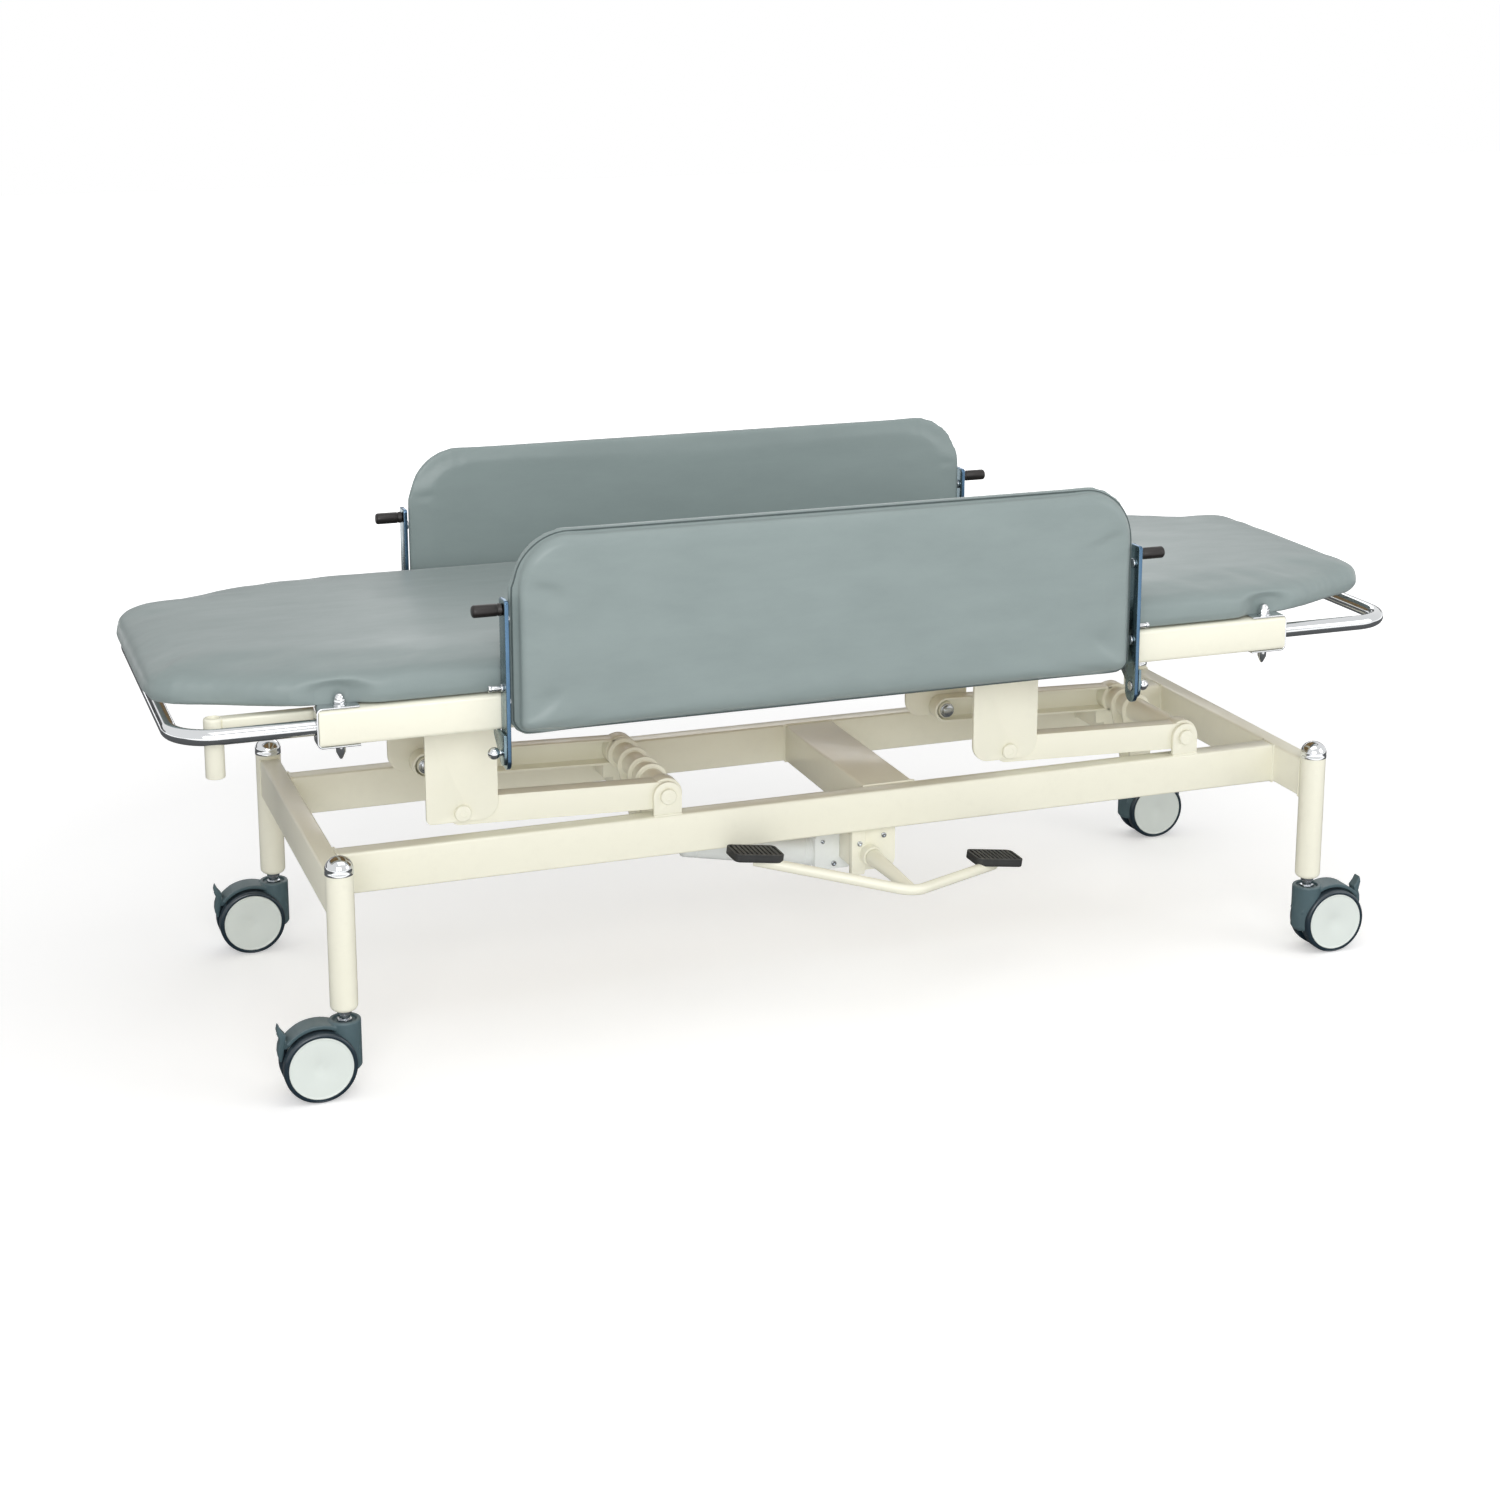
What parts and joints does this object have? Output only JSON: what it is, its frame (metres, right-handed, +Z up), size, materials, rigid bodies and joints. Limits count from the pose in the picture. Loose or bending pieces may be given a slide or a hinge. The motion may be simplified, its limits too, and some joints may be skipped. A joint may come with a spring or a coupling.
{
  "type": "hydraulic stretcher",
  "caption": "Height-adjustable patient stretcher on braked casters: foot pump, parallel lift arms, padded fold-down side guards and push handles.",
  "frame": {"origin": "on the floor, under the middle of the whole stretcher", "axes": "+X along the bed towards the end without the drip pole socket, +Y away from the foot pump, +Z up"},
  "size_m": [1.8714, 0.6742, 0.767],
  "materials": {
    "cream_paint": "cream powder coat, satin",
    "pump_paint": "off-white paint, satin",
    "chrome": "bright chrome plate",
    "guard_steel": "bluish plated flat bar",
    "vinyl": "grey-green vinyl leather over foam, satin",
    "board": "plywood deck",
    "caster_plastic": "slate grey moulded plastic",
    "caster_tyre": "navy tread with a pale disc",
    "rubber": "ribbed black rubber"
  },
  "bodies": {
    "base": {"base_side_rail_near": "cream_paint", "base_side_rail_far": "cream_paint", "base_end_frame_left": "cream_paint", "base_end_frame_right": "cream_paint", "base_cross_member": "cream_paint", "lower_pin_left": "cream_paint", "lower_pin_right": "cream_paint", "pump_cylinder": "pump_paint", "pump_block": "pump_paint", "pump_mount": "cream_paint"},
    "left_arms": {"left_arm_near": "cream_paint", "left_arm_far": "cream_paint", "left_lift_shaft": "cream_paint"},
    "right_arms": {"right_arm_near": "cream_paint", "right_arm_far": "cream_paint", "right_lift_shaft": "cream_paint"},
    "tie": {"tie_bar": "cream_paint"},
    "piston": {"piston_rod": "chrome"},
    "bed": {"frame_tube_near": "cream_paint", "frame_tube_far": "cream_paint", "frame_end_tube_left": "cream_paint", "frame_end_tube_right": "cream_paint", "hanger_left": "cream_paint", "hanger_right": "cream_paint", "upper_pin_left": "cream_paint", "upper_pin_right": "cream_paint", "push_handle_left": "chrome", "push_handle_right": "chrome", "handle_clamp_near_left": "chrome", "handle_clamp_near_right": "chrome", "handle_clamp_far_left": "chrome", "handle_clamp_far_right": "chrome", "iv_pole_socket": "cream_paint", "mattress_board": "board", "mattress": "vinyl"},
    "guard_near": {"guard_pad_near": "vinyl", "guard_bar_near_left": "guard_steel", "guard_bar_near_right": "guard_steel"},
    "guard_far": {"guard_pad_far": "vinyl", "guard_bar_far_left": "guard_steel", "guard_bar_far_right": "guard_steel"},
    "pedal": {"pedal_bar": "cream_paint", "pedal_pad_left": "rubber", "pedal_pad_right": "rubber"},
    "swivel_near_left": {"caster_housing_near_left": "caster_plastic"},
    "wheel_near_left": {"caster_wheel_near_left": "caster_tyre"},
    "brake_near_left": {"caster_brake_near_left": "caster_plastic"},
    "plunger_near_left": {"guard_plunger_near_left": "chrome"},
    "swivel_near_right": {"caster_housing_near_right": "caster_plastic"},
    "wheel_near_right": {"caster_wheel_near_right": "caster_tyre"},
    "brake_near_right": {"caster_brake_near_right": "caster_plastic"},
    "plunger_near_right": {"guard_plunger_near_right": "chrome"},
    "swivel_far_left": {"caster_housing_far_left": "caster_plastic"},
    "wheel_far_left": {"caster_wheel_far_left": "caster_tyre"},
    "brake_far_left": {"caster_brake_far_left": "caster_plastic"},
    "plunger_far_left": {"guard_plunger_far_left": "chrome"},
    "swivel_far_right": {"caster_housing_far_right": "caster_plastic"},
    "wheel_far_right": {"caster_wheel_far_right": "caster_tyre"},
    "brake_far_right": {"caster_brake_far_right": "caster_plastic"},
    "plunger_far_right": {"guard_plunger_far_right": "chrome"}
  },
  "joints": [
    {"name": "lift", "type": "hinge", "parent": "base", "child": "left_arms", "pos_m": [-0.21373, 0.00814, 0.336], "axis": [0, 1, 0], "range_deg": [0, 50]},
    {"name": "right_lift", "type": "hinge", "parent": "base", "child": "right_arms", "pos_m": [0.62427, 0.00814, 0.336], "axis": [0, 1, 0], "range_deg": [0, 50]},
    {"name": "bed_level", "type": "hinge", "parent": "left_arms", "child": "bed", "pos_m": [-0.51373, 0.00814, 0.346], "axis": [0, 1, 0], "range_deg": [-50, 0]},
    {"name": "tie_swing", "type": "hinge", "parent": "left_arms", "child": "tie", "pos_m": [-0.19494, 0.00814, 0.20231], "axis": [0, 1, 0], "range_deg": [-50, 0]},
    {"name": "piston_stroke", "type": "slide", "parent": "base", "child": "piston", "axis": [-0.9816, 0, 0.1908], "range_m": [0, 0.0824]},
    {"name": "pedal_press", "type": "hinge", "parent": "base", "child": "pedal", "pos_m": [0.10427, 0.00814, 0.206], "axis": [0, 1, 0], "range_deg": [-20, 6], "stiffness_Nm_per_rad": 8},
    {"name": "guard_near_fold", "type": "hinge", "parent": "bed", "child": "guard_near", "pos_m": [0.04427, -0.29786, 0.465], "axis": [1, 0, 0], "range_deg": [0, 155]},
    {"name": "guard_far_fold", "type": "hinge", "parent": "bed", "child": "guard_far", "pos_m": [0.04427, 0.31414, 0.465], "axis": [-1, 0, 0], "range_deg": [0, 155]},
    {"name": "swivel_near_left", "type": "hinge", "parent": "base", "child": "swivel_near_left", "pos_m": [-0.70573, -0.27486, 0.108], "axis": [0, 0, 1], "continuous": true},
    {"name": "roll_near_left", "type": "hinge", "parent": "swivel_near_left", "child": "wheel_near_left", "pos_m": [-0.74373, -0.27486, 0.05], "axis": [0, 1, 0], "continuous": true},
    {"name": "brake_near_left", "type": "hinge", "parent": "swivel_near_left", "child": "brake_near_left", "pos_m": [-0.78773, -0.27486, 0.083], "axis": [0, -1, 0], "range_deg": [0, 15]},
    {"name": "plunger_near_left", "type": "slide", "parent": "bed", "child": "plunger_near_left", "axis": [-1, 0, 0], "range_m": [0, 0.008], "stiffness_N_per_m": 500},
    {"name": "swivel_near_right", "type": "hinge", "parent": "base", "child": "swivel_near_right", "pos_m": [0.79427, -0.27486, 0.108], "axis": [0, 0, 1], "continuous": true},
    {"name": "roll_near_right", "type": "hinge", "parent": "swivel_near_right", "child": "wheel_near_right", "pos_m": [0.83227, -0.27486, 0.05], "axis": [0, 1, 0], "continuous": true},
    {"name": "brake_near_right", "type": "hinge", "parent": "swivel_near_right", "child": "brake_near_right", "pos_m": [0.87627, -0.27486, 0.083], "axis": [0, 1, 0], "range_deg": [0, 15]},
    {"name": "plunger_near_right", "type": "slide", "parent": "bed", "child": "plunger_near_right", "axis": [1, 0, 0], "range_m": [0, 0.008], "stiffness_N_per_m": 500},
    {"name": "swivel_far_left", "type": "hinge", "parent": "base", "child": "swivel_far_left", "pos_m": [-0.70573, 0.29114, 0.108], "axis": [0, 0, 1], "continuous": true},
    {"name": "roll_far_left", "type": "hinge", "parent": "swivel_far_left", "child": "wheel_far_left", "pos_m": [-0.74373, 0.29114, 0.05], "axis": [0, 1, 0], "continuous": true},
    {"name": "brake_far_left", "type": "hinge", "parent": "swivel_far_left", "child": "brake_far_left", "pos_m": [-0.78773, 0.29114, 0.083], "axis": [0, -1, 0], "range_deg": [0, 15]},
    {"name": "plunger_far_left", "type": "slide", "parent": "bed", "child": "plunger_far_left", "axis": [-1, 0, 0], "range_m": [0, 0.008], "stiffness_N_per_m": 500},
    {"name": "swivel_far_right", "type": "hinge", "parent": "base", "child": "swivel_far_right", "pos_m": [0.79427, 0.29114, 0.108], "axis": [0, 0, 1], "continuous": true},
    {"name": "roll_far_right", "type": "hinge", "parent": "swivel_far_right", "child": "wheel_far_right", "pos_m": [0.83227, 0.29114, 0.05], "axis": [0, 1, 0], "continuous": true},
    {"name": "brake_far_right", "type": "hinge", "parent": "swivel_far_right", "child": "brake_far_right", "pos_m": [0.87627, 0.29114, 0.083], "axis": [0, 1, 0], "range_deg": [0, 15]},
    {"name": "plunger_far_right", "type": "slide", "parent": "bed", "child": "plunger_far_right", "axis": [1, 0, 0], "range_m": [0, 0.008], "stiffness_N_per_m": 500}
  ],
  "couplings": [
    {"joint": "right_lift", "follows": "lift", "ratio": 1},
    {"joint": "bed_level", "follows": "lift", "ratio": -1},
    {"joint": "tie_swing", "follows": "lift", "ratio": -1},
    {"joint": "piston_stroke", "follows": "lift", "m_per_rad": 0.0944}
  ]
}
